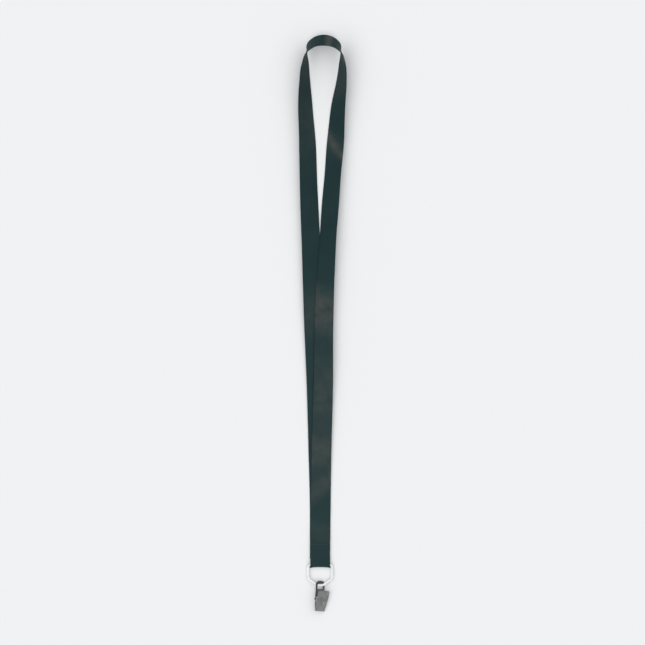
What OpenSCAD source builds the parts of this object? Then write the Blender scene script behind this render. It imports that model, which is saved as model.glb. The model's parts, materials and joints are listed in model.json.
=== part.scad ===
// Neck lanyard lying flat: a satin ribbon loop sewn round a plastic ring that holds a sprung bulldog clip.
// Millimetres. +Z is up from the surface, +Y runs to the neck end and -Y to the clip.

/* [Ribbon] */
// Width of the ribbon
ribbon_w = 16; // [14:0.5:16]
// Thickness of the ribbon
ribbon_t = 0.7; // [0.5:0.05:0.7]

/* [Sewn end] */
// Where the fold round the ring ends
fold_y = -197.7; // [-200:0.1:-196]
// Where the row of stitching lies
seam_y = -179.4; // [-181:0.1:-177]
// Distance from one stitch hole to the next
stitch_pitch = 2.5; // [2:0.1:3]
// Diameter of the sewing thread
thread_d = 0.3; // [0.2:0.05:0.35]

/* [Ring] */
// Diameter of the ring's round section
ring_d = 2; // [1.8:0.1:2.2]
// Inside width of the ring
ring_inner_w = 17.4; // [17.2:0.1:19]
// Distance from the ring's straight bar to the middle of its tip
ring_depth = 16.4; // [15:0.1:17]

/* [Clip] */
// Width of the clip over its ears
clip_w = 10.6; // [10:0.1:11]
// Length from the jaw to the top of the eye
clip_l = 24.4; // [23:0.1:26]
// Thickness of the pressed steel
plate_t = 0.5; // [0.4:0.05:0.6]
// Diameter of the pivot pin
pin_d = 1; // [0.9:0.1:1.1]
// How far the clip lies over on its right side
clip_roll = 34; // [33:1:36]
// How far the clip's tail points to the right, minus to the left
clip_yaw = 1.6; // [-2:0.1:3]
// How far the pivot pin sits askew in the ears
pin_skew = 3; // [0:1:5]

/* [Hidden] */
half_w = ribbon_w / 2;
half_t = ribbon_t / 2;
layer = ribbon_t + 0.05;      // one ribbon layer with the air between layers

// ---------- the ribbon's route ----------
// Each station is [x, y, lift of the inner edge, roll]. Roll 0 lies flat, 90 stands on edge.
WAY = [
    [-1.8, -191, 1.10, 0], [-1.8, -176, 1.10, 0], [-1.8, -162, 0.5, 0], [-1.9, -145, 0.4, 0],
    [-2.9, -105, 0.4, 1], [-4.5, -48, 0.4, 5], [-7.1, 10, 0.4, 13], [-8.9, 62, 0.4, 21],
    [-10.8, 110, 0.4, 28], [-12.0, 150, 0.4, 33], [-13.5, 175, 0.8, 43], [-14.0, 196, 1.8, 58],
    [-13.8, 209, 3.2, 69], [-12.6, 219.3, 5.2, 90], [-9.2, 224.9, 6.8, 108], [-4.3, 227.7, 7.8, 120],
    [1.6, 228.5, 8.2, 125], [7.2, 227.6, 7.8, 121], [12.2, 224.7, 6.8, 108], [15.6, 219.1, 5.2, 90],
    [16.6, 209, 3.2, 71], [15.9, 196, 1.8, 60], [13.1, 175, 0.8, 45], [11.2, 150, 0.4, 35],
    [7.9, 110, 0.6, 31], [4.4, 62, 1.6, 30], [1.8, 10, 2.8, 21], [1.1, -48, 2.5, 12],
    [-0.4, -105, 1.5, 4], [-1.0, -145, 1.1, 0], [-1.2, -162, 1.15, 0], [-1.4, -176, 1.85, 0],
    [-1.5, -187, 1.95, 0]
];
SEAM_X = -1.5;
fold_air = 0.12;              // between the ring's bar and the ribbon round it
fold_r = ring_d / 2 + fold_air + half_t;
bar_y = fold_y + half_t + fold_r;
bar_z = half_t + fold_r;
tail_past_seam = 4.5;         // the tail runs on this far behind the stitching
tail_start = 3;               // the tail lies flat this far behind the bar
fold_step = 12;               // degrees from one section of the fold to the next
strand_gap = 5;               // distance from one section of the strand to the next

function unit(v) = v / norm(v);
function span(a, b) = norm([for (k = [0:2]) b[k] - a[k]]);
// Slope of the route at station i, from its neighbours at their own spacing
function slope(p, i) =
    i == 0 ? (p[1] - p[0]) / span(p[0], p[1]) :
    i == len(p) - 1 ? (p[i] - p[i - 1]) / span(p[i - 1], p[i]) :
    let (a = span(p[i - 1], p[i]), b = span(p[i], p[i + 1]))
    ((p[i] - p[i - 1]) / a * b + (p[i + 1] - p[i]) / b * a) / (a + b);
function between(p, i, f) =
    let (h = span(p[i], p[i + 1]), f2 = f * f, f3 = f * f * f)
    (2 * f3 - 3 * f2 + 1) * p[i] + (f3 - 2 * f2 + f) * h * slope(p, i)
    + (3 * f2 - 2 * f3) * p[i + 1] + (f3 - f2) * h * slope(p, i + 1);
// A smooth line through the stations, with points about one gap apart
function smooth(p, gap) = concat(
    [for (i = [0:len(p) - 2])
        let (n = max(1, ceil(span(p[i], p[i + 1]) / gap)))
        for (k = [0:n - 1]) between(p, i, k / n)],
    [p[len(p) - 1]]);
function centre(s) = [s[0], s[1], s[2] + half_w * sin(s[3])];

// Four corners of the ribbon at a centre, from its heading, its level side direction and its roll
function ribbon_ring(c, heading, side, roll) =
    let (up = cross(heading, side), wide = cos(roll) * side + sin(roll) * up,
         thick = cross(heading, wide))
    [for (q = [[-1, -1], [1, -1], [1, 1], [-1, 1]]) c + q[0] * half_w * wide + q[1] * half_t * thick];
STRAND = smooth(WAY, strand_gap);
function strand_ring(i) =
    let (a = centre(STRAND[max(i - 1, 0)]), b = centre(STRAND[min(i + 1, len(STRAND) - 1)]),
         heading = unit(b - a), side = unit(cross([0, 0, 1], heading)))
    ribbon_ring(centre(STRAND[i]), heading, side, STRAND[i][3]);
// The fold round the ring's bar, then the tail under the seam
function fold_ring(a) =
    ribbon_ring([SEAM_X, bar_y - fold_r * sin(a), bar_z + fold_r * cos(a)],
        [0, -cos(a), -sin(a)], [1, 0, 0], 0);
function tail_ring(y) = ribbon_ring([SEAM_X, y, half_t], [0, 1, 0], [1, 0, 0], 0);
RIBBON = concat(
    [for (i = [0:len(STRAND) - 1]) strand_ring(i)],
    [for (a = [-fold_step:fold_step:180]) fold_ring(a)],
    [tail_ring(bar_y + tail_start), tail_ring(seam_y), tail_ring(seam_y + tail_past_seam)]);

// A closed skin over rings of points, with flat ends
module skin(rings) {
    n = len(rings[0]);
    m = len(rings);
    sides = [for (i = [0:m - 2]) for (k = [0:n - 1])
        let (a = i * n + k, b = i * n + (k + 1) % n)
        for (t = [[a, b + n, b], [a, a + n, b + n]]) t];
    ends = [[for (k = [0:n - 1]) k], [for (k = [n - 1:-1:0]) (m - 1) * n + k]];
    polyhedron([for (r = rings) for (p = r) p], concat(sides, ends), 10);
}

// A round rope of diameter d along points, kept from twisting by a fixed reference direction
rope_sides = 8;
function rope_rings(p, d, ref) =
    [for (i = [0:len(p) - 1])
        let (t = unit(p[min(i + 1, len(p) - 1)] - p[max(i - 1, 0)]),
             u = unit(cross(ref, t)), v = cross(t, u))
        [for (k = [0:rope_sides - 1]) let (a = 360 * k / rope_sides)
            p[i] + d / 2 * (cos(a) * u + sin(a) * v)]];

module ribbon_strap() { color([0.14, 0.21, 0.22]) skin(RIBBON); }

// ---------- the stitching ----------
seam_margin = 1;                         // plain ribbon beside the end stitches
hole_count = floor((ribbon_w - 2 * seam_margin) / stitch_pitch) + 1;
hole_side = 0.35;                        // half the distance between a hole's two threads
hole_lean = 0.04;                        // the threads lean a little as they pass through
lock_z = layer * 1.5;                    // where the two threads lock, inside the layers
lock_air = 0.06;                         // between the two threads where they lock
layers = 3;                              // left strand, right strand and tail
needle_top = layers * layer + thread_d / 4;
bobbin_air = 0.02;                       // between the bobbin thread and the surface under the lanyard
bobbin_low = thread_d / 2 + bobbin_air;
needle_ref = unit([0.31, 0.17, 0.52]);   // askew, so that no part of the thread runs along it
bobbin_ref = unit([0.2, 0.9, 0.15]);
function hole_x(i) = SEAM_X + (i - (hole_count - 1) / 2) * stitch_pitch;

// The needle thread runs on top and dips through each hole
module needle_thread() {
    color([0.2, 0.27, 0.28]) skin(rope_rings(
        [for (i = [0:hole_count - 1]) for (q = [
            [0, -hole_side, needle_top], [0, -hole_side, lock_z],
            [0, hole_side, lock_z], [0, hole_side, needle_top]])
            [hole_x(i) + q[0] + (q[1] < 0 ? -hole_lean : hole_lean), seam_y + q[1], q[2]]],
        thread_d, needle_ref));
}

// The bobbin thread runs underneath, sunk in the weave, and rises through the needle thread's loops
module bobbin_thread() {
    color([0.17, 0.24, 0.25]) skin(rope_rings(
        [for (i = [0:hole_count - 1]) for (q = [
            [-hole_side, bobbin_low], [-hole_side, lock_z + thread_d + lock_air],
            [hole_side, lock_z + thread_d + lock_air], [hole_side, bobbin_low]])
            [hole_x(i) + q[0], seam_y + (q[0] < 0 ? -hole_lean : hole_lean) / 2, q[1]]],
        thread_d, bobbin_ref));
}

// ---------- the ring ----------
// Its middle line is measured from the middle of its bar: bar, shoulders, sides, hips and a blunt V tip
ring_x = SEAM_X;
ring_half = (ring_inner_w + ring_d) / 2;
shoulder_r = 1.9;      // where the bar meets a side
hip_r = 5.5;           // where a side turns in to the tip
tip_r = 5.4;           // where the lower sides meet the tip
tip_flat = 1.2;        // the straight middle of the tip, that the clip hangs from
tip_slope = 36;        // the lower sides, from level
ring_lift = 4.4;       // the clip's eye holds the tip up off the surface
rod_thin = 0.04;       // the straight runs are a hair thinner than the bends, and run a little way into them
rod_lap = 0.2;
shoulder_x = ring_half - shoulder_r;
tip_centre = [tip_flat / 2, tip_r - ring_depth];
tip_end = tip_centre + tip_r * [sin(tip_slope), -cos(tip_slope)];
hip_end_x = ring_half - hip_r + hip_r * sin(tip_slope);
hip_end = [hip_end_x, tip_end[1] + (hip_end_x - tip_end[0]) * tan(tip_slope)];
hip_centre = hip_end - hip_r * [sin(tip_slope), -cos(tip_slope)];
module ring_arc(centre, r, from, to) {
    translate(centre) rotate([0, 0, from]) rotate_extrude(angle = to - from, $fn = 64)
        translate([r, 0]) circle(d = ring_d, $fn = 32);
}
module ring_rod(a, b) {
    translate(a) rotate([0, 0, atan2(b[1] - a[1], b[0] - a[0])]) rotate([0, 90, 0])
        translate([0, 0, -rod_lap]) cylinder(d = ring_d - rod_thin, h = norm(b - a) + 2 * rod_lap, $fn = 32);
}
module ring_side() {
    ring_arc([shoulder_x, -shoulder_r], shoulder_r, 0, 90);
    ring_rod([ring_half, hip_centre[1]], [ring_half, -shoulder_r]);
    ring_arc(hip_centre, hip_r, tip_slope - 90, 0);
    ring_rod(tip_end, hip_end);
    ring_arc(tip_centre, tip_r, -90, tip_slope - 90);
}
module d_ring() {
    color([0.93, 0.94, 0.94]) translate([ring_x, bar_y, bar_z]) rotate([-ring_lift, 0, 0]) {
        ring_rod([-shoulder_x, 0], [shoulder_x, 0]);
        ring_side();
        mirror([1, 0, 0]) ring_side();
        ring_rod([-tip_flat / 2, -ring_depth], [tip_flat / 2, -ring_depth]);
    }
}

// ---------- the clip, in its own frame ----------
// Origin at the middle of the jaw, +Y to the eye, +Z away from the surface that it lies on
pivot_y = 9.8;
pivot_z = 1.5;
pin_room = 0.05;                       // air between the pin and its holes
ear_gap = 0.25;                        // air between an ear of the back plate and one of the lever
back_w = clip_w - 2 * (plate_t + ear_gap);
jaw_w = 8.9;
shoulder_y = 14.6;                     // where the back plate starts to narrow to the eye
narrowing = 1.5;                       // the length that it narrows over
eye_w = 8.4;
eye_bar = 2.2;                         // the eye's top bar
eye_gap = 0.35;                        // air between the ring's wire and the top of the eye's hole
hole_w = 5.6;                          // the eye's hole
hole_l = 4.6;
hole_top = clip_l - eye_bar;
eye_corner = 3.2;                      // rounding of the eye's outer corners
hole_corner = 1.7;                     // rounding of its hole
jaw_l = 6;                             // the plates widen from the jaw over this length
ear_r = 0.95;                          // the back plate's ears, round the pin
lever_l = 17.2;
lever_tilt = 16;                       // it rises from the jaw to its tail
lever_foot = 1;                        // height of the lever's underside at the jaw
// The clip's frame in the row: its eye holds the ring's tip
eye_at = [ring_x, bar_y - ring_depth * cos(ring_lift), bar_z + ring_depth * sin(ring_lift)];
module clip_frame() {
    translate(eye_at) rotate([0, 0, -clip_yaw]) rotate([0, clip_roll, 0])
        translate([0, -(hole_top - ring_d / 2 - eye_gap), -plate_t / 2]) children();
}
// The pivot pin sits a little askew, and the lever and spring with it
module pivot_frame() {
    translate([0, pivot_y, pivot_z]) rotate([0, 0, -pin_skew]) children();
}
module cross_pin(d, l) { rotate([0, 90, 0]) cylinder(d = d, h = l, center = true, $fn = 40); }
module pin_hole() { cross_pin(pin_d + 2 * pin_room, 2 * clip_w); }
module rounded(w, l, r) {
    translate([-w / 2 + r, 0]) square([w - 2 * r, l]);
    translate([-w / 2, r]) square([w, l - 2 * r]);
    for (x = [-w / 2 + r, w / 2 - r]) for (y = [r, l - r]) translate([x, y]) circle(r, $fn = 32);
}
// Half widths of a plate at places along it, made into a symmetrical outline
module tapered(stations) {
    polygon(concat([for (q = stations) [q[1], q[0]]],
        [for (i = [len(stations) - 1:-1:0]) [-stations[i][1], stations[i][0]]]));
}
module back_outline() {
    tapered([[0, jaw_w / 2], [jaw_l, back_w / 2], [shoulder_y, back_w / 2],
        [shoulder_y + narrowing, eye_w / 2], [shoulder_y + eye_corner, eye_w / 2]]);
    difference() {
        translate([0, shoulder_y]) rounded(eye_w, clip_l - shoulder_y, eye_corner);
        translate([0, hole_top - hole_l]) rounded(hole_w, hole_l, hole_corner);
    }
}
module back_ear(x) {
    translate([x, pivot_y, 0]) rotate([90, 0, 90]) linear_extrude(plate_t, center = true) {
        translate([-ear_r, plate_t / 2]) square([2 * ear_r, pivot_z - plate_t / 2]);
        translate([0, pivot_z]) circle(ear_r, $fn = 40);
    }
}
teeth = 5;
tooth_foot = 0.48;                     // half widths of a tooth at its foot and its tip, in steps
tooth_tip = 0.12;
lower_tooth = 0.6;                     // teeth of the back plate, from the middle of its metal
upper_tooth = 0.4;                     // teeth of the lever
module jaw_teeth(w, high) {
    step = w / teeth;
    for (i = [0:teeth - 1]) translate([(i - (teeth - 1) / 2) * step, 0, 0])
        rotate([90, 0, 0]) translate([0, 0, -plate_t]) linear_extrude(plate_t)
            polygon(step * [[-tooth_foot, 0], [tooth_foot, 0], [tooth_tip, high / step],
                [-tooth_tip, high / step]]);
}
module clip_back_plate() {
    color([0.45, 0.46, 0.45]) clip_frame() difference() {
        union() {
            linear_extrude(plate_t) back_outline();
            for (s = [-1, 1]) back_ear(s * (back_w - plate_t) / 2);
            translate([0, 0, plate_t / 2]) jaw_teeth(jaw_w, lower_tooth);
        }
        pivot_frame() pin_hole();
    }
}
module lever_frame() { translate([0, -pivot_y, lever_foot - pivot_z]) rotate([lever_tilt, 0, 0]) children(); }
// Height of the lever's underside above the pivot, at y from the pivot
function lever_under(y) = lever_foot - pivot_z + (pivot_y + y) * tan(lever_tilt);
tail_r = 1.2;                          // rounding of the lever's two tail corners
module lever_outline() {
    tapered([[0, jaw_w / 2], [pivot_y, clip_w / 2], [lever_l - tail_r, clip_w / 2],
        [lever_l, clip_w / 2 - tail_r]]);
    for (s = [-1, 1]) translate([s * (clip_w / 2 - tail_r), lever_l - tail_r]) circle(tail_r, $fn = 32);
}
lever_ear_r = ear_r + 0.15;            // the lever's ears are outside the back plate's
lever_ear_root = 2.4;                  // half the ear's length where it leaves the plate
module lever_ear(x) {
    front = -lever_ear_root;
    back = lever_ear_root;
    translate([x, 0, 0]) rotate([90, 0, 90]) linear_extrude(plate_t, center = true) {
        circle(lever_ear_r, $fn = 40);
        polygon([[-lever_ear_r, 0], [lever_ear_r, 0], [back, lever_under(back) + plate_t / 2],
            [front, lever_under(front) + plate_t / 2]]);
    }
}
// The lever: a tapered plate with a stamped dent, turned-down ears on the pin, a bent lip and jaw teeth
dent_at = [1.2, 7.6];
dent_r = 2.35;
dent_depth = 0.3;
lip_inset = 1.4;                       // the lip stops short of the lever's corners
lip_h = 1.2 * plate_t;                 // it hangs one plate thickness down and runs into the plate above
tooth_inset = 0.2;                     // the lever's teeth stop short of its sides
module clip_lever_plate() {
    color([0.52, 0.53, 0.52]) clip_frame() pivot_frame() difference() {
        union() {
            difference() {
                lever_frame() linear_extrude(plate_t) lever_outline();
                lever_frame() translate([dent_at[0], dent_at[1], plate_t + dent_r - dent_depth])
                    sphere(dent_r, $fn = 48);
            }
            for (s = [-1, 1]) lever_ear(s * (clip_w - plate_t) / 2);
            lever_frame() translate([0, tooth_inset / 2, plate_t / 2]) mirror([0, 0, 1])
                jaw_teeth(jaw_w - 2 * tooth_inset, upper_tooth);
            lever_frame() translate([-clip_w / 2 + lip_inset, lever_l - plate_t, -plate_t])
                cube([clip_w - 2 * lip_inset, plate_t, lip_h]);
        }
        pin_hole();
    }
}
head_t = 0.45;                         // the pin's heads
head_rim = 0.45;                       // they stand out this far round the pin
head_gap = 0.1;                        // air between a head and the lever's ear
module clip_pivot_pin() {
    color([0.5, 0.51, 0.5]) clip_frame() pivot_frame() {
        cross_pin(pin_d, clip_w + 2 * head_gap + head_t);
        for (s = [-1, 1]) translate([s * (clip_w + 2 * head_gap + head_t) / 2, 0, 0])
            cross_pin(pin_d + 2 * head_rim, head_t);
    }
}
// Torsion spring: a coil round the pin with a leg under the lever's tail and a leg on the back plate
wire = 0.35;
wire_air = 0.05;                       // air between the wire and the pin, and the wire and the plates
coil_r = pin_d / 2 + wire_air + wire / 2;
coil_turns = 4;
coil_w = 2.8;
coil_step = 24;                        // degrees from one section of the coil to the next
coil_sweep = 360 * coil_turns + 180;
leg_l = 5;
spring_ref = unit([1, 0.02, 0.01]);    // nearly along the pin
back_leg_z = plate_t - pivot_z + wire / 2 + wire_air;
function coil_at(a) = [coil_w * (a / coil_sweep - 0.5), coil_r * sin(a), coil_r * cos(a)];
function lever_leg_z(y) = lever_under(y) - wire / 2 - wire_air;
SPRING = concat(
    [[-coil_w / 2, leg_l, lever_leg_z(leg_l)], [-coil_w / 2, leg_l / 2, lever_leg_z(leg_l / 2)]],
    [for (a = [0:coil_step:coil_sweep]) coil_at(a)],
    [[coil_w / 2, leg_l / 3, back_leg_z], [coil_w / 2, leg_l, back_leg_z]]);
module clip_spring() {
    color([0.62, 0.63, 0.62]) clip_frame() pivot_frame()
        skin(rope_rings(SPRING, wire, spring_ref));
}

ribbon_strap();
needle_thread();
bobbin_thread();
d_ring();
clip_back_plate();
clip_lever_plate();
clip_pivot_pin();
clip_spring();
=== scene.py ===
import json
import math

import bmesh
import bpy
import numpy as np
from mathutils import Matrix, Vector


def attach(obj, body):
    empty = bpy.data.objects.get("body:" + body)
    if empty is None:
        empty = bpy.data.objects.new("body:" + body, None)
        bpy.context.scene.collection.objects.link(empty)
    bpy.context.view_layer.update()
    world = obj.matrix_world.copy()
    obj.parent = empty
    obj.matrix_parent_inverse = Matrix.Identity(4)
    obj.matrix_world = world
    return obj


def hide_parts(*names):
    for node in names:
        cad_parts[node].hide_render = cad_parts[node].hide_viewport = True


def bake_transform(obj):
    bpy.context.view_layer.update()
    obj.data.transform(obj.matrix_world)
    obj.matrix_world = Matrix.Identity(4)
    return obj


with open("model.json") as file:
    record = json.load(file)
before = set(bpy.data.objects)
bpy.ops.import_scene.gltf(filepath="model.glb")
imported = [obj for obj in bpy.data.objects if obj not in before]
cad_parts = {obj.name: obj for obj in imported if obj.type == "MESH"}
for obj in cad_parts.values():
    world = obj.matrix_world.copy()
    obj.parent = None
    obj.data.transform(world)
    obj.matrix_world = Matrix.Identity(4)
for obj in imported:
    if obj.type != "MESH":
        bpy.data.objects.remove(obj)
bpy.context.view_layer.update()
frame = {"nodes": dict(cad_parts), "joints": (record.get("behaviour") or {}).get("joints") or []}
MM = 0.001

# ---------------------------------------------------------------- driving values, as in the part's source
# The ribbon, the fold round the ring and the sewn end
RIBBON_W = 0.016
RIBBON_T = 0.0007
LAYER = RIBBON_T + 0.00005
FOLD_AIR = 0.00012
SEAM_X = -0.0015
SEAM_Y = -0.1794
TAIL_END_Y = SEAM_Y + 0.0045
STITCH_PITCH = 0.0025
STITCH_HOLES = 6
THREAD_D = 0.0003

# The ring
RING_D = 0.002
RING_INNER_W = 0.0174
RING_DEPTH = 0.0164
RING_LIFT = math.radians(4.4)

# The clip, its pin and its spring
CLIP_ROLL = math.radians(34)
CLIP_YAW = math.radians(1.6)
CLIP_L = 0.0244
EYE_BAR = 0.0022
EYE_GAP = 0.00035
PLATE_T = 0.0005
LEVER_TILT = math.radians(16)
LEVER_FOOT = 0.001
PIN_AT = (0, 0.0098, 0.0015)
PIN_SKEW = math.radians(3)
PIN_L = 0.0108
PIN_R = 0.0005
HEAD_R = PIN_R + 0.00045
HEAD_T = 0.00045
WIRE_D = 0.00035
WIRE_AIR = 0.00005
COIL_R = PIN_R + WIRE_AIR + WIRE_D / 2
COIL_TURNS = 4
COIL_W = 0.0028
LEG_L = 0.005

FOLD_R = RING_D / 2 + FOLD_AIR + RIBBON_T / 2
JOINTS = {j["name"]: j for j in frame["joints"]}
BAR = Vector(JOINTS["ring_swing"]["pos_m"])
EYE = Vector(JOINTS["clip_swing"]["pos_m"])

# The ribbon's stations: x, y, lift of the inner edge, roll in degrees
WAY = [
    (-0.0018, -0.1910, 0.00110, 0), (-0.0018, -0.1760, 0.00110, 0), (-0.0018, -0.1620, 0.00050, 0),
    (-0.0019, -0.1450, 0.00040, 0), (-0.0029, -0.1050, 0.00040, 1), (-0.0045, -0.0480, 0.00040, 5),
    (-0.0071, 0.0100, 0.00040, 13), (-0.0089, 0.0620, 0.00040, 21), (-0.0108, 0.1100, 0.00040, 28),
    (-0.0120, 0.1500, 0.00040, 33), (-0.0135, 0.1750, 0.00080, 43), (-0.0140, 0.1960, 0.00180, 58),
    (-0.0138, 0.2090, 0.00320, 69), (-0.0126, 0.2193, 0.00520, 90), (-0.0092, 0.2249, 0.00680, 108),
    (-0.0043, 0.2277, 0.00780, 120), (0.0016, 0.2285, 0.00820, 125), (0.0072, 0.2276, 0.00780, 121),
    (0.0122, 0.2247, 0.00680, 108), (0.0156, 0.2191, 0.00520, 90), (0.0166, 0.2090, 0.00320, 71),
    (0.0159, 0.1960, 0.00180, 60), (0.0131, 0.1750, 0.00080, 45), (0.0112, 0.1500, 0.00040, 35),
    (0.0079, 0.1100, 0.00060, 31), (0.0044, 0.0620, 0.00160, 30), (0.0018, 0.0100, 0.00280, 21),
    (0.0011, -0.0480, 0.00250, 12), (-0.0004, -0.1050, 0.00150, 4), (-0.0010, -0.1450, 0.00110, 0),
    (-0.0012, -0.1620, 0.00115, 0), (-0.0014, -0.1760, 0.00185, 0), (-0.0015, -0.1870, 0.00195, 0),
]

# Where the right strand comes in over the fold, after its last station
LEAD_IN = (SEAM_X, -0.1915, 0.00262)


# ---------------------------------------------------------------- small helpers
def unit(v):
    return v / np.linalg.norm(v, axis=-1, keepdims=True)


def distance_along(path):
    """How far along a path each of its points is."""
    return np.append(0, np.cumsum(np.linalg.norm(np.diff(path, axis=0), axis=1)))


def round_angles(sides):
    return 2 * math.pi * np.arange(sides) / sides


def smooth_line(points, gap):
    """A cubic through the points with slopes from their neighbours, as the part's source has it."""
    p = np.array(points, float)
    h = np.linalg.norm(np.diff(p[:, :3], axis=0), axis=1)
    chord = np.diff(p, axis=0) / h[:, None]
    slope = np.empty_like(p)
    slope[0] = chord[0]
    slope[-1] = chord[-1]
    slope[1:-1] = (chord[:-1] * h[1:, None] + chord[1:] * h[:-1, None]) / (h[:-1] + h[1:])[:, None]
    out = []
    for i, length in enumerate(h):
        steps = math.ceil(length / gap)
        f = (np.arange(steps) / steps)[:, None]
        out.append((2 * f**3 - 3 * f**2 + 1) * p[i] + (f**3 - 2 * f**2 + f) * length * slope[i]
                   + (3 * f**2 - 2 * f**3) * p[i + 1] + (f**3 - f**2) * length * slope[i + 1])
    return np.vstack(out + [p[-1:]])


def new_object(name, data):
    made = bpy.data.objects.new(name, data)
    bpy.context.scene.collection.objects.link(made)
    return made


def mesh_object(name, points, faces, smooth=True):
    mesh = bpy.data.meshes.new(name)
    mesh.from_pydata([tuple(p) for p in points], [], [tuple(f) for f in faces])
    mesh.validate()
    mesh.polygons.foreach_set("use_smooth", [smooth] * len(mesh.polygons))
    return new_object(name, mesh)


def tube_faces(rings, sides, closed, start=0):
    """Quads round a tube of rings x sides points. An open tube has two more, the centres of its end fans."""
    def at(i, k):
        return start + i % rings * sides + k % sides

    faces = []
    for i in range(rings if closed else rings - 1):
        for k in range(sides):
            faces.append((at(i, k), at(i, k + 1), at(i + 1, k + 1), at(i + 1, k)))
    if not closed:
        first = start + rings * sides
        faces += [(first, at(0, k + 1), at(0, k)) for k in range(sides)]
        faces += [(first + 1, at(rings - 1, k), at(rings - 1, k + 1)) for k in range(sides)]
    return faces


def tube(path, radius, sides, closed=False, ref=(0, 0, 1), start=0):
    """Points and faces of a round tube along a path, no part of which runs along ref."""
    p = np.array(path, float)
    ahead = np.roll(p, -1, 0) - np.roll(p, 1, 0)
    if not closed:
        ahead[0], ahead[-1] = p[1] - p[0], p[-1] - p[-2]
    t = unit(ahead)
    u = unit(np.cross(np.array(ref, float), t))
    v = np.cross(t, u)
    a = round_angles(sides)
    circle = np.cos(a)[None, :, None] * u[:, None] + np.sin(a)[None, :, None] * v[:, None]
    points = (p[:, None] + radius * circle).reshape(-1, 3)
    if not closed:
        points = np.vstack([points, p[:1], p[-1:]])
    return points, tube_faces(len(p), sides, closed, start)


# ---------------------------------------------------------------- the ribbon
STRAND_STEP = 0.001  # from one cross section to the next
TAIL_STEP = 0.0008
TAIL_START = 0.001  # the tail lies flat from this far behind the ring's bar
FOLD_STEP = 4  # degrees round the fold, from where the right strand meets it
FOLD_START = -12

# Places where the limp ribbon lies over a little more or less: side of the loop, y, length, degrees
WAVES = [
    (1, 0.146, 0.036, -3.5), (1, 0.118, 0.040, 3), (1, 0.072, 0.044, 2.5), (1, 0.010, 0.050, -2.5),
    (1, -0.030, 0.036, 2.5), (1, -0.062, 0.040, -2), (1, -0.150, 0.018, 2),
    (-1, 0.160, 0.050, 2.5), (-1, 0.090, 0.060, -2), (-1, 0.020, 0.050, 2),
    (-1, 0.2235, 0.012, 6), (1, 0.2235, 0.012, 6),
]

# Painted highlights where the satin would catch the light, and painted shade (amount below 0) over the neck:
# distance along the ribbon from the middle of the neck (minus on the left), length of the place, how much
# painted light (below 0: painted shade), and how far the place runs on along the ribbon for each metre across
# it
# The first place is painted shade over the neck; the others are painted highlights
PAINTED_LIGHT_PLACES = [
    (0.000, 0.060, -0.34, 0), (0.0038, 0.0105, 1.45, 0), (0.046, 0.034, 0.20, 0), (0.095, 0.017, 0.75, 0.95),
    (0.094, 0.034, 0.20, 0.6), (0.230, 0.056, 0.85, 0.4), (0.281, 0.070, 0.30, 0), (0.304, 0.050, 0.40, -0.5),
    (0.343, 0.060, 0.60, 0), (0.372, 0.030, 0.50, -0.8), (0.408, 0.026, 0.30, 0), (-0.068, 0.050, 0.25, 0.5),
    (-0.095, 0.060, 0.20, 0), (-0.228, 0.060, 0.32, -0.4),
]


def swell(s, middle, length, height):
    """A smooth low hill along s."""
    f = np.clip(np.abs(s - middle) / (length / 2), 0, 1)
    return height * (1 + np.cos(math.pi * f)) / 2


def painted_light_at(centre, along, across):
    """How much painted highlight (above 0) or painted shade (below 0) each point of each section gets, from
    about -0.3 up.
    """
    from_neck = (along - along[np.argmax(centre[:, 1])])[:, None]
    return sum(swell(from_neck - slant * across, place, length, amount)
               for place, length, amount, slant in PAINTED_LIGHT_PLACES)


def strand_lines():
    """Centre and roll of the ribbon from the left strand's end round the neck to the right strand's end."""
    way = smooth_line(WAY, STRAND_STEP)
    right = np.arange(len(way)) > np.argmax(way[:, 1])
    for side, y, length, degrees in WAVES:
        way[:, 3] += np.where(right == (side > 0), swell(way[:, 1], y, length, degrees), 0)
    roll = np.radians(way[:, 3])
    centre = way[:, :3].copy()
    centre[:, 2] += RIBBON_W / 2 * np.sin(roll)
    return centre, roll


def fold_and_tail(last):
    """Centres from the right strand's last one on, over the ring's bar, under it and back past the seam."""
    fold = []
    for a in np.radians(np.arange(FOLD_START, 180 + 1, FOLD_STEP)):
        fold.append((SEAM_X, BAR.y - FOLD_R * math.sin(a), BAR.z + FOLD_R * math.cos(a)))
    tail = [(SEAM_X, y, RIBBON_T / 2) for y in np.arange(BAR.y + TAIL_START, TAIL_END_Y, TAIL_STEP)]
    joined = smooth_line([tuple(last), LEAD_IN, fold[0]], TAIL_STEP)[1:-1]
    return np.vstack([joined, fold, tail])


def ribbon_frames():
    """Centre, across and thickness directions, and how far along, of each cross section from end to end."""
    centre, roll = strand_lines()
    side = unit(np.cross((0, 0, 1), unit(np.gradient(centre, axis=0))))
    rest = fold_and_tail(centre[-1])
    centre = np.vstack([centre, rest])
    side = np.vstack([side, np.tile((1.0, 0, 0), (len(rest), 1))])
    roll = np.append(roll, np.zeros(len(rest)))
    ahead = unit(np.gradient(centre, axis=0))
    side = unit(side - (side * ahead).sum(1, keepdims=True) * ahead)
    up = np.cross(ahead, side)
    wide = np.cos(roll)[:, None] * side + np.sin(roll)[:, None] * up
    return centre, wide, np.cross(ahead, wide), distance_along(centre)


def fold_flare(centre):
    """How far round the fold each section is: 1 at the fold's outer end, 0 away from it."""
    return np.clip((BAR.y - centre[:, 1]) / FOLD_R, 0, 1) ** 2


def pinched(centre):
    """The share of its thickness that the ribbon keeps at each section, where the stitching squeezes it."""
    squeeze, reach = 0.4, 0.0007
    return 1 - squeeze * np.exp(-((centre[:, 1] - SEAM_Y) / reach) ** 2)


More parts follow.
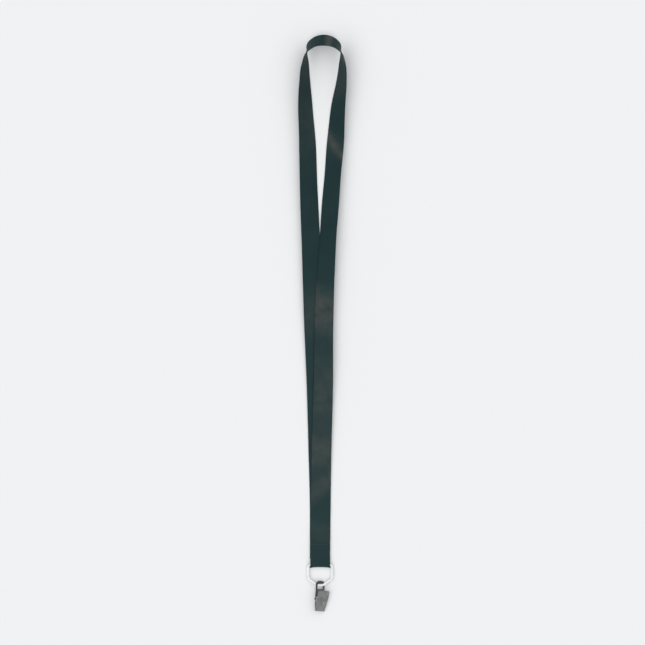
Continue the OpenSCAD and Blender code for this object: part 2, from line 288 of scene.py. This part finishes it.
def ribbon_section():
    """Offsets across and through the ribbon round its closed outline: a flat body with fuller woven edges."""
    body, rim = 0.00026, 0.00033
    rim_in, rim_spread, rounding, least = 0.00045, 0.00035, 0.0003, 0.02
    steps = np.array([0, 1.1, 2.2, 3.3, 4.4, 5.5, 6.4, 6.8, 7.1, 7.45, 7.75, 7.93, 8]) * MM
    across = np.concatenate([-steps[:0:-1], steps])
    from_edge = RIBBON_W / 2 - np.abs(across)
    thick = body + (rim - body) * np.exp(-((from_edge - rim_in) / rim_spread) ** 2)
    thick = thick * np.sqrt(np.clip(1 - (1 - np.clip(from_edge / rounding, 0, 1)) ** 2, least, 1))
    top = np.stack([across, thick], 1)
    low = np.stack([across, -thick], 1)[::-1]
    return np.vstack([top, low])


def strap_faces(n, m):
    """Quads round a strap of n sections with m points each, and a row of quads over each end."""
    faces = []
    for i in range(n - 1):
        for k in range(m):
            j = (k + 1) % m
            faces.append((i * m + k, (i + 1) * m + k, (i + 1) * m + j, i * m + j))
    for k in range(m // 2 - 1):
        cap = (k, k + 1, m - 2 - k, m - 1 - k)
        faces.append(cap)
        faces.append(tuple((n - 1) * m + q for q in reversed(cap)))
    return faces


def ribbon():
    """The cloth, which keeps its way across, along and its painted highlight and shade for its material, and
    its length.
    """
    centre, wide, thick, along = ribbon_frames()
    section = ribbon_section()
    n, m = len(centre), len(section)
    widening, bow = 0.07, 0.0006
    flare = fold_flare(centre)[:, None, None]
    across = section[None, :, :1] * (1 + widening * flare)
    loose = bow * flare * (np.abs(across) / (RIBBON_W / 2)) ** 3
    outward = unit(centre - (SEAM_X, BAR.y, BAR.z))[:, None] * (0, 1, 0)
    through = section[None, :, 1:] * pinched(centre)[:, None, None]
    points = centre[:, None] + across * wide[:, None] + through * thick[:, None] + loose * outward
    made = mesh_object("ribbon_cloth", points.reshape(-1, 3), strap_faces(n, m))
    lay = made.data.attributes.new("lay", "FLOAT_VECTOR", "POINT")
    values = np.zeros((n, m, 3), np.float32)
    values[:, :, 0] = section[None, :, 0]
    values[:, :, 1] = along[:, None]
    values[:, :, 2] = painted_light_at(centre, along, section[None, :, 0])
    lay.data.foreach_set("vector", values.ravel())
    return made, along[-1]


# ---------------------------------------------------------------- the stitching
LOCK_Z = 1.5 * LAYER  # where the two threads lock, inside the three layers


def two_ply(name, route, lowest=0.0):
    """A thread of two plies twisted together along a route that doesn't go under the lowest height."""
    step, lay_length, ply_out, ply_r = 0.00006, 0.0009, THREAD_D * 0.25, THREAD_D * 0.27
    askew = (0.31, 0.52, 0.17)
    path = smooth_line(route, step)
    path[:, 2] = np.maximum(path[:, 2], lowest)
    s = distance_along(path)
    t = unit(np.gradient(path, axis=0))
    u = unit(np.cross(askew, t))
    v = np.cross(t, u)
    points, faces = [], []
    for phase in (0, math.pi):
        a = 2 * math.pi * s / lay_length + phase
        ply = path + ply_out * (np.cos(a)[:, None] * u + np.sin(a)[:, None] * v)
        p, f = tube(ply, ply_r, sides=7, ref=askew, start=sum(len(q) for q in points))
        points.append(p)
        faces += f
    return mesh_object(name, np.vstack(points), faces)


def hole_x(i):
    return SEAM_X + (i - (STITCH_HOLES - 1) / 2) * STITCH_PITCH


def needle_route():
    """Over the top from hole to hole, a little askew, and down through each hole to the lock and back."""
    top = 3 * LAYER + THREAD_D * 0.1
    lean, mouth, throat, dip, askew, crown = 0.00004, 0.00035, 0.0003, 0.0002, 0.00018, 0.00012
    route = []
    for i in range(STITCH_HOLES):
        x = hole_x(i)
        route += [(x - lean, SEAM_Y - mouth, top - dip), (x - lean, SEAM_Y - throat, LOCK_Z),
                  (x + lean, SEAM_Y + throat, LOCK_Z), (x + lean, SEAM_Y + mouth, top - dip)]
        if i < STITCH_HOLES - 1:
            route += [(x + STITCH_PITCH * 0.3, SEAM_Y + askew, top + crown),
                      (x + STITCH_PITCH * 0.7, SEAM_Y - askew, top + crown)]
    return route


def bobbin_route():
    """Along the underside, and up each hole to loop over the needle thread."""
    low, lean = THREAD_D / 2 + 0.00002, 0.00002
    half_loop = [(0.0006, low), (0.0003, low + 0.0002), (0.0003, LOCK_Z + 0.0003)]  # out from a hole, height
    route = []
    for i in range(STITCH_HOLES):
        x = hole_x(i)
        route += [(x - out, SEAM_Y - lean, z) for out, z in half_loop]
        route += [(x + out, SEAM_Y + lean, z) for out, z in reversed(half_loop)]
    return route


# ---------------------------------------------------------------- the ring
def arc(cx, cy, r, start, end, n):
    a = np.radians(np.linspace(start, end, n))
    return np.stack([cx + r * np.cos(a), cy + r * np.sin(a)], 1)


def ring_line():
    """The ring's middle line in its own plane, from the middle of its bar: round corners, blunt V tip."""
    half = (RING_INNER_W + RING_D) / 2
    shoulder, hip, tip, tip_flat = 0.0019, 0.0055, 0.0054, 0.0012
    slope_deg = 36
    slope = math.radians(slope_deg)
    tip_y = -RING_DEPTH + tip
    hip_x = half - hip
    rise = (hip_x + (hip - tip) * math.sin(slope) - tip_flat / 2) * math.tan(slope)
    hip_y = tip_y - tip * math.cos(slope) + rise + hip * math.cos(slope)
    bar = np.linspace(0, half - shoulder, 12, endpoint=False)
    right = np.vstack([
        np.stack([bar, np.zeros_like(bar)], 1),
        arc(half - shoulder, -shoulder, shoulder, 90, 0, 12),
        arc(hip_x, hip_y, hip, 0, slope_deg - 90, 16),
        arc(tip_flat / 2, tip_y, tip, slope_deg - 90, -90, 12)])
    left = right[1:][::-1] * (-1, 1)
    line = np.vstack([right, left])
    return np.column_stack([line, np.zeros(len(line))])


def ring():
    points, faces = tube(ring_line(), RING_D / 2, sides=28, closed=True)
    made = mesh_object("plastic_ring", points, faces)
    made.data.transform(Matrix.Translation((SEAM_X, BAR.y, BAR.z)) @ Matrix.Rotation(-RING_LIFT, 4, "X"))
    return made


# ---------------------------------------------------------------- the clip
EDGE_ROUNDING = 0.00008
ROUNDED_FROM = math.radians(24)  # edges that turn by more than this are rounded
SHARP_FROM = math.radians(35)  # what still turns by more than this after that is shaded as sharp


def clip_matrix():
    """The clip's own frame: origin at the middle of the jaw, +Y to the eye, +Z away from the surface."""
    hang = CLIP_L - EYE_BAR - RING_D / 2 - EYE_GAP
    return (Matrix.Translation(EYE) @ Matrix.Rotation(-CLIP_YAW, 4, "Z") @ Matrix.Rotation(CLIP_ROLL, 4, "Y")
            @ Matrix.Translation((0, -hang, -PLATE_T / 2)))


def pivot_matrix():
    return clip_matrix() @ Matrix.Translation(PIN_AT) @ Matrix.Rotation(-PIN_SKEW, 4, "Z")


def apply_modifier(made, modifier):
    with bpy.context.temp_override(object=made, active_object=made, selected_objects=[made]):
        bpy.ops.object.modifier_apply(modifier=modifier.name)


def join_flat(mesh):
    """Joins the doubled points of a CAD mesh, and its triangles into flat faces."""
    weld, flat = 2e-6, math.radians(1.5)
    work = bmesh.new()
    work.from_mesh(mesh)
    bmesh.ops.remove_doubles(work, verts=work.verts, dist=weld)
    bmesh.ops.dissolve_limit(work, angle_limit=flat, verts=work.verts, edges=work.edges)
    work.to_mesh(mesh)
    work.free()


def drop_slivers(mesh):
    """Takes out the hair-thin faces that the rounding leaves in tight corners."""
    sliver, weld = 8e-6, 4e-6
    work = bmesh.new()
    work.from_mesh(mesh)
    bmesh.ops.dissolve_degenerate(work, edges=work.edges, dist=sliver)
    bmesh.ops.remove_doubles(work, verts=work.verts, dist=weld)
    work.to_mesh(mesh)
    work.free()


def softened(node, name):
    """A stamped piece as the CAD has it, with its sharp edges rounded as tumbling leaves them."""
    mesh = frame["nodes"][node].data.copy()
    mesh.name = name
    made = new_object(name, mesh)
    join_flat(mesh)
    bevel = made.modifiers.new("edges", "BEVEL")
    bevel.width = EDGE_ROUNDING
    bevel.segments = 2
    bevel.limit_method = "ANGLE"
    bevel.angle_limit = ROUNDED_FROM
    apply_modifier(made, bevel)
    drop_slivers(mesh)
    mesh.polygons.foreach_set("use_smooth", [True] * len(mesh.polygons))
    mesh.set_sharp_from_angle(angle=SHARP_FROM)
    normals = made.modifiers.new("normals", "WEIGHTED_NORMAL")
    normals.mode = "FACE_AREA"
    normals.weight = 100
    normals.keep_sharp = True
    apply_modifier(made, normals)
    return made


def pin_half():
    """Distance along and radius, from the middle of the pin to the top of one of its domed heads."""
    half = PIN_L / 2
    waist, corner, rim, dome_end = 0.98, 0.00001, 0.93, 84
    shank = [(0, PIN_R * waist), (half - corner, PIN_R), (half, PIN_R), (half, HEAD_R * rim)]
    angles = np.radians(np.linspace(0, dome_end, 9))
    dome = [(half + HEAD_T * math.sin(a), HEAD_R * math.cos(a)) for a in angles]
    return np.array(shank + dome)


def pin():
    """A riveted pin along X with two domed heads."""
    right = pin_half()
    x = np.concatenate([-right[:0:-1, 0], right[:, 0]])
    r = np.concatenate([right[:0:-1, 1], right[:, 1]])
    sides = 32
    a = round_angles(sides)
    rings = np.stack([np.repeat(x[:, None], sides, 1), r[:, None] * np.cos(a), r[:, None] * np.sin(a)], 2)
    points = np.vstack([rings.reshape(-1, 3), (x[0], 0, 0), (x[-1], 0, 0)])
    made = mesh_object("pivot_rivet", points, tube_faces(len(x), sides, closed=False))
    made.data.transform(pivot_matrix())
    return made


def under_lever(y):
    """Height from the pin of a wire that lies under the lever, y from the pin."""
    return LEVER_FOOT - PIN_AT[2] + (PIN_AT[1] + y) * math.tan(LEVER_TILT) - WIRE_D / 2 - WIRE_AIR


def spring():
    """A torsion spring round the pin, a leg under the lever and a leg on the back plate."""
    side, sweep, step = COIL_W / 2, 360 * COIL_TURNS + 180, 12
    on_plate, coil_low = -0.00077, -COIL_R - 0.00002
    onto_coil = ((0.0016, 0.0017), (0.0009, 0.00118), (0.0004, 0.00084))
    off_coil = ((0.0009, coil_low), (0.0022, on_plate), (LEG_L, on_plate))
    path = [(-side, y, under_lever(y)) for y in (LEG_L, 0.0042, 0.0034, LEG_L / 2)]
    path += [(-side, y, z) for y, z in onto_coil]
    for a in range(step, sweep + 1, step):
        turned = math.radians(a)
        path.append((-side + COIL_W * a / sweep, COIL_R * math.sin(turned), COIL_R * math.cos(turned)))
    path += [(side, y, z) for y, z in off_coil]
    points, faces = tube(path, WIRE_D / 2, sides=12, ref=(1, 0.02, 0.01))
    made = mesh_object("torsion_spring", points, faces)
    made.data.transform(pivot_matrix())
    return made


# ---------------------------------------------------------------- materials
BLACK, WHITE = (0, 0, 0), (1, 1, 1)
RIB_PITCH = 0.00042  # the weave's ribs across the ribbon, and its warp threads along it
WARP_PITCH = 0.00026
PAINTED_DARK_SPAN = (-0.2175, -0.2145)  # painted darkening of the plates towards the eye for its dark reflection: none up to the first y, full from the second on


def ramp(nodes, stops):
    """A colour ramp with a colour at each place."""
    made = nodes.new("ShaderNodeValToRGB")
    while len(made.color_ramp.elements) < len(stops):
        made.color_ramp.elements.new(0.5)
    for element, (place, colour) in zip(made.color_ramp.elements, stops):
        element.position = place
        element.color = (*colour, 1)
    return made


class Finish:
    """A new material, and the nodes that make its colour, roughness and bump."""

    def __init__(self, name, **sockets):
        self.material = bpy.data.materials.new(name)
        self.material.use_nodes = True
        self.nodes = self.material.node_tree.nodes
        self.links = self.material.node_tree.links
        self.shader = self.nodes["Principled BSDF"]
        for key, value in sockets.items():
            self.shader.inputs[key.replace("_", " ")].default_value = value

    def feed(self, socket, value):
        """Sets a socket to a number or colour, or links another node's output to it."""
        if isinstance(value, bpy.types.NodeSocket):
            self.links.new(value, socket)
        else:
            socket.default_value = value

    def drive(self, name, value):
        self.links.new(value, self.shader.inputs[name])

    def math(self, kind, *values, clamp=False):
        made = self.nodes.new("ShaderNodeMath")
        made.operation = kind
        made.use_clamp = clamp
        for socket, value in zip(made.inputs, values):
            self.feed(socket, value)
        return made.outputs[0]

    def linear(self, value, factor, plus, clamp=False):
        """value * factor + plus"""
        return self.math("MULTIPLY_ADD", value, factor, plus, clamp=clamp)

    def weighted(self, *parts):
        """The sum of some values, each with its weight."""
        total = None
        for value, weight in parts:
            part = self.math("MULTIPLY", value, weight)
            total = part if total is None else self.math("ADD", total, part)
        return total

    def wave(self, value, pitch):
        return self.math("SINE", self.math("MULTIPLY", value, 2 * math.pi / pitch))

    def noise(self, scale, detail, place=None):
        made = self.nodes.new("ShaderNodeTexNoise")
        made.inputs["Scale"].default_value = scale
        made.inputs["Detail"].default_value = detail
        if place is not None:
            self.links.new(place, made.inputs["Vector"])
        return made.outputs["Fac"]

    def lines(self, place, scales, detail, turn=0):
        """Noise drawn out into lines along the axis with the smallest scale."""
        made = self.nodes.new("ShaderNodeMapping")
        made.inputs["Rotation"].default_value = (0, 0, turn)
        made.inputs["Scale"].default_value = scales
        self.links.new(place, made.inputs["Vector"])
        return self.noise(scale=1, detail=detail, place=made.outputs["Vector"])

    def tones(self, value, *stops):
        made = ramp(self.nodes, stops)
        self.links.new(value, made.inputs["Fac"])
        return made.outputs["Color"]

    def mix(self, share, first, second, kind="MIX"):
        made = self.nodes.new("ShaderNodeMix")
        made.data_type = "RGBA"
        made.blend_type = kind
        self.feed(made.inputs[0], share)
        self.feed(made.inputs[6], first)
        self.feed(made.inputs[7], second)
        return made.outputs[2]

    def parts(self, vector):
        made = self.nodes.new("ShaderNodeSeparateXYZ")
        self.links.new(vector, made.inputs[0])
        return made.outputs

    def bump(self, height, strength, distance):
        made = self.nodes.new("ShaderNodeBump")
        made.inputs["Strength"].default_value = strength
        made.inputs["Distance"].default_value = distance
        self.links.new(height, made.inputs["Height"])
        self.drive("Normal", made.outputs["Normal"])


def ribbon_material():
    """Dark green satin: a fine weave, an uneven dye, painted highlights where the satin catches the light,
    and painted shade over the neck.
    """
    finish = Finish("satin_ribbon", Roughness=0.45, IOR=1.18, Sheen_Weight=0.01, Sheen_Roughness=0.35,
                    Sheen_Tint=(0.62, 0.75, 0.76, 1))
    lay = finish.nodes.new("ShaderNodeAttribute")
    lay.attribute_name = "lay"
    # the third part of lay is the painted highlight and painted shade
    across, along, painted_light = finish.parts(lay.outputs["Vector"])
    flat = finish.nodes.new("ShaderNodeCombineXYZ")
    finish.links.new(across, flat.inputs[0])
    finish.links.new(along, flat.inputs[1])
    place = flat.outputs[0]
    weave = finish.weighted((finish.wave(along, RIB_PITCH), 0.6), (finish.wave(across, WARP_PITCH), 0.4))
    cloth = finish.noise(scale=60, detail=4, place=place)
    tone = finish.linear(weave, factor=0.12, plus=cloth)
    deep = finish.tones(tone, (0.25, (0.0040, 0.0245, 0.0285)), (0.75, (0.0055, 0.031, 0.034)))
    # light: the grey tone of the painted highlights; a fifth of it is also in the ribbon's own colour
    light = finish.tones(tone, (0.25, (0.048, 0.059, 0.056)), (0.75, (0.058, 0.069, 0.065)))
    uneven = finish.linear(finish.noise(scale=110, detail=2, place=place), factor=2.2, plus=-0.1)
    # painted highlight and painted shade, broken up by the uneven noise; at 0 the colour keeps a fifth of
    # light
    share = finish.linear(finish.math("MULTIPLY", painted_light, uneven), factor=0.8, plus=0.2, clamp=True)
    finish.drive("Base Color", finish.mix(share, deep, light))
    finish.drive("Roughness", finish.linear(cloth, factor=0.16, plus=0.40))
    finish.bump(weave, strength=0.85, distance=0.00004)
    return finish.material


def thread_material():
    """Green sewing thread, a shade lighter than the ribbon, with uneven fibres."""
    finish = Finish("sewing_thread", Roughness=0.5, Sheen_Weight=0.2)
    fibres = finish.noise(scale=9000, detail=2)
    green = finish.tones(fibres, (0.3, (0.022, 0.046, 0.049)), (0.7, (0.055, 0.088, 0.092)))
    finish.drive("Base Color", green)
    return finish.material


def ring_material():
    """White translucent plastic with the faint unevenness of a moulded skin."""
    finish = Finish("ring_plastic", Base_Color=(0.95, 0.955, 0.96, 1), Roughness=0.28, IOR=1.46,
                    Transmission_Weight=0.18)
    skin = finish.noise(scale=900, detail=3)
    finish.drive("Roughness", finish.linear(skin, factor=0.18, plus=0.2))
    finish.bump(skin, strength=0.25, distance=0.00002)
    return finish.material


def steel_material(name, dark, light, roughness, painted_dark_span=None):
    """Worn plated steel: cloudy tone, rolled grain, fine scratches, rubbed edges, and, where a span is given,
    painted darkening towards one end for a dark reflection.
    """
    finish = Finish(name, Metallic=1.0, Roughness=roughness)
    place = finish.nodes.new("ShaderNodeTexCoord").outputs["Object"]
    edges = finish.nodes.new("ShaderNodeNewGeometry").outputs["Pointiness"]
    cloud = finish.noise(scale=330, detail=5, place=place)
    grain = finish.lines(place, scales=(9000, 700, 9000), detail=3)
    scratch = finish.lines(place, scales=(6000, 260, 6000), detail=1, turn=math.radians(25))
    scratched = finish.tones(scratch, (0.66, BLACK), (0.72, WHITE))
    rubbed = finish.tones(edges, (0.50, BLACK), (0.56, WHITE))
    tone = finish.weighted((cloud, 0.55), (grain, 0.45), (scratched, 0.10), (rubbed, 0.12))
    colour = finish.tones(tone, (0.34, dark), (0.70, light))
    if painted_dark_span is not None:
        along = finish.nodes.new("ShaderNodeMapRange")
        along.inputs["From Min"].default_value, along.inputs["From Max"].default_value = painted_dark_span
        finish.links.new(finish.parts(place)[1], along.inputs["Value"])
        # painted dark reflection: the colour is darkened towards the eye end of the span
        colour = finish.mix(along.outputs[0], colour, (0.30, 0.31, 0.31, 1), kind="MULTIPLY")
    finish.drive("Base Color", colour)
    finish.drive("Roughness", finish.linear(tone, factor=0.3, plus=roughness - 0.15))
    finish.bump(tone, strength=0.5, distance=0.00002)
    return finish.material


def dress(piece, material, body, node):
    """Gives a new piece its material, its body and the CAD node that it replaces."""
    piece.data.materials.clear()
    piece.data.materials.append(material)
    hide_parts(node)
    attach(piece, body)


# ---------------------------------------------------------------- the stage
PICTURE_W = 0.5225  # metres that the picture shows from side to side
CAMERA_AT = (0.0004, 0.0005, 5.0)
SENSOR_W = 36
FLOOR_Z = -0.00005
FLOOR_HALF = 6
SKY = [(0, (0.1825, 0.1847, 0.188)), (0.45, (0.383, 0.3876, 0.3945)), (1, (1.597, 1.609, 1.621))]


def camera():
    """Straight above, and far off, as the photograph shows no perspective."""
    data = bpy.data.cameras.new("camera")
    data.sensor_width = SENSOR_W
    data.lens = SENSOR_W * CAMERA_AT[2] / PICTURE_W
    data.clip_end = 50
    made = new_object("camera", data)
    made.location = CAMERA_AT
    bpy.context.scene.camera = made


def soft_sun(name, source, spread_deg, strength):
    """An even light from a large soft source far away in the direction of source."""
    data = bpy.data.lights.new(name, "SUN")
    data.angle = math.radians(spread_deg)
    data.energy = strength
    made = new_object(name, data)
    made.location = Vector(source) * 2
    made.rotation_euler = (-Vector(source)).to_track_quat("-Z", "Y").to_euler()


def pale_floor():
    corners = [(x * FLOOR_HALF, y * FLOOR_HALF, FLOOR_Z) for x, y in ((-1, -1), (1, -1), (1, 1), (-1, 1))]
    floor = mesh_object("floor", corners, [(0, 1, 2, 3)], smooth=False)
    finish = Finish("pale_floor", Base_Color=(0.80, 0.808, 0.815, 1), Roughness=0.9, Specular_IOR_Level=0.2)
    floor.data.materials.append(finish.material)


def studio_light():
    """A pale sky that is brightest overhead, and one broad soft light."""
    world = bpy.data.worlds.new("studio")
    bpy.context.scene.world = world
    world.use_nodes = True
    nodes, links = world.node_tree.nodes, world.node_tree.links
    split = nodes.new("ShaderNodeSeparateXYZ")
    links.new(nodes.new("ShaderNodeTexCoord").outputs["Generated"], split.inputs[0])
    sky = ramp(nodes, SKY)
    links.new(split.outputs[2], sky.inputs["Fac"])
    links.new(sky.outputs["Color"], nodes["Background"].inputs["Color"])
    soft_sun("key", (-0.3, -0.35, 1), spread_deg=60, strength=0.6)


bpy.context.scene.view_settings.view_transform = "Standard"
camera()
pale_floor()
studio_light()

cloth, ribbon_length = ribbon()
dress(cloth, ribbon_material(), "strap", "ribbon_strap")

thread = thread_material()
needle = two_ply("needle_stitching", needle_route())
bobbin = two_ply("bobbin_stitching", bobbin_route(), lowest=THREAD_D / 2)
dress(needle, thread, "strap", "needle_thread")
dress(bobbin, thread, "strap", "bobbin_thread")

dress(ring(), ring_material(), "ring", "d_ring")

# the plates get a painted dark reflection at the eye end
plated = steel_material("plated_steel", dark=(0.21, 0.215, 0.208), light=(0.455, 0.465, 0.450),
                        roughness=0.42, painted_dark_span=PAINTED_DARK_SPAN)
dress(softened("clip_back_plate", "back_plate"), plated, "clip", "clip_back_plate")
dress(softened("clip_lever_plate", "lever_plate"), plated, "lever", "clip_lever_plate")
pin_steel = steel_material("pin_steel", dark=(0.12, 0.12, 0.12), light=(0.22, 0.22, 0.21), roughness=0.38)
dress(pin(), pin_steel, "clip", "clip_pivot_pin")

# The spring, one leg of which goes with the lever while the other stays with the clip, gets its material and
# stays in place, attached to no body
coil = spring()
spring_steel = steel_material("spring_steel", dark=(0.30, 0.30, 0.29), light=(0.42, 0.42, 0.41),
                              roughness=0.3)
coil.data.materials.append(spring_steel)
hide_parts("clip_spring")
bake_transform(coil)
